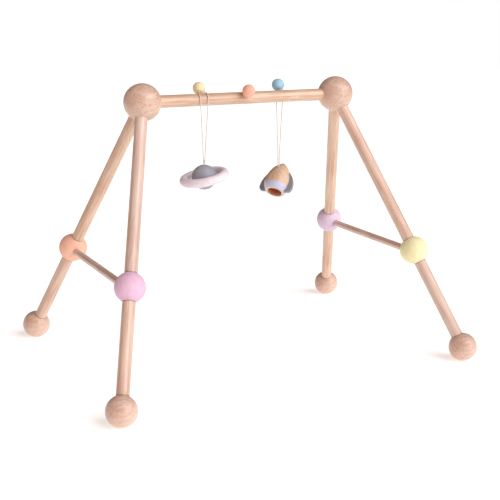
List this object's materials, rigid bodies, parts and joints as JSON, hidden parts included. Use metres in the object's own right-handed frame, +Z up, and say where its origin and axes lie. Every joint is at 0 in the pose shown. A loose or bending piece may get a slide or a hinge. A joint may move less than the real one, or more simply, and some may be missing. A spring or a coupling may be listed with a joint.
{
  "type": "activity play gym",
  "caption": "Free-standing wooden play gym: splayed dowel legs with ball joints, a top bar with ball pegs, and two cord-hung toys, a ringed planet and a hollow rocket.",
  "frame": {"origin": "on the floor, under the middle of the top bar", "axes": "+Z up, +X along the top bar to the right as seen from the front, -Y to the front"},
  "size_m": [0.722, 0.538, 0.51],
  "materials": {
    "beech": "matt clear oil",
    "pink_paint": "matt water-based paint on wood",
    "orange_paint": "matt water-based paint on wood",
    "yellow_paint": "matt water-based paint on wood",
    "lavender_paint": "matt water-based paint on wood",
    "coral_paint": "matt water-based paint on wood",
    "blue_paint": "matt water-based paint on wood",
    "slate_paint": "matt water-based paint on wood",
    "lilac_paint": "matt water-based paint on wood",
    "cord": "undyed braided cotton",
    "steel": "zinc plated",
    "brass": "turned brass"
  },
  "bodies": {
    "frame": {"corner_ball_left": "beech", "cross_bar_left": "beech", "corner_ball_right": "beech", "cross_bar_right": "beech", "upper_leg_front_left": "beech", "lower_leg_front_left": "beech", "foot_ball_front_left": "beech", "upper_leg_front_right": "beech", "lower_leg_front_right": "beech", "foot_ball_front_right": "beech", "upper_leg_rear_left": "beech", "lower_leg_rear_left": "beech", "foot_ball_rear_left": "beech", "upper_leg_rear_right": "beech", "lower_leg_rear_right": "beech", "foot_ball_rear_right": "beech", "joint_ball_front_left": "pink_paint", "joint_ball_rear_left": "orange_paint", "joint_ball_front_right": "yellow_paint", "joint_ball_rear_right": "lavender_paint", "leg_studs": "steel", "leg_inserts": "brass", "top_bar": "beech", "bar_studs": "steel", "bar_inserts": "brass", "peg_stem_left": "beech", "peg_ball_left": "yellow_paint", "peg_stem_middle": "beech", "peg_ball_middle": "coral_paint", "peg_stem_right": "beech", "peg_ball_right": "blue_paint", "planet_loop": "cord", "rocket_loop": "cord"},
    "planet_sling": {"planet_cord": "cord", "planet_knot": "cord", "planet_end_knot": "cord"},
    "planet": {"planet": "slate_paint", "ring_pins": "beech"},
    "planet_ring": {"planet_ring": "lilac_paint"},
    "rocket_sling": {"rocket_cord": "cord", "rocket_end_knot": "cord"},
    "rocket": {"rocket_body": "beech", "rocket_fin_1": "slate_paint", "rocket_fin_2": "slate_paint"}
  },
  "joints": [
    {"name": "planet_swing", "type": "hinge", "parent": "frame", "child": "planet_sling", "pos_m": [-0.0845, -0.0123, 0.47], "axis": [1, 0, 0], "range_deg": [-40, 40]},
    {"name": "planet_twist", "type": "hinge", "parent": "planet_sling", "child": "planet", "pos_m": [-0.0845, -0.0123, 0.3628], "axis": [0, 0, 1], "range_deg": [-180, 180]},
    {"name": "ring_turn", "type": "hinge", "parent": "planet", "child": "planet_ring", "pos_m": [-0.0845, -0.0123, 0.3403], "axis": [0.9781, 0, 0.2079], "range_deg": [-60, 60]},
    {"name": "rocket_swing", "type": "hinge", "parent": "frame", "child": "rocket_sling", "pos_m": [0.081, 0.0123, 0.47], "axis": [1, 0, 0], "range_deg": [-40, 40]},
    {"name": "rocket_twist", "type": "hinge", "parent": "rocket_sling", "child": "rocket", "pos_m": [0.081, 0.0123, 0.3415], "axis": [0, 0, 1], "range_deg": [-180, 180]}
  ]
}
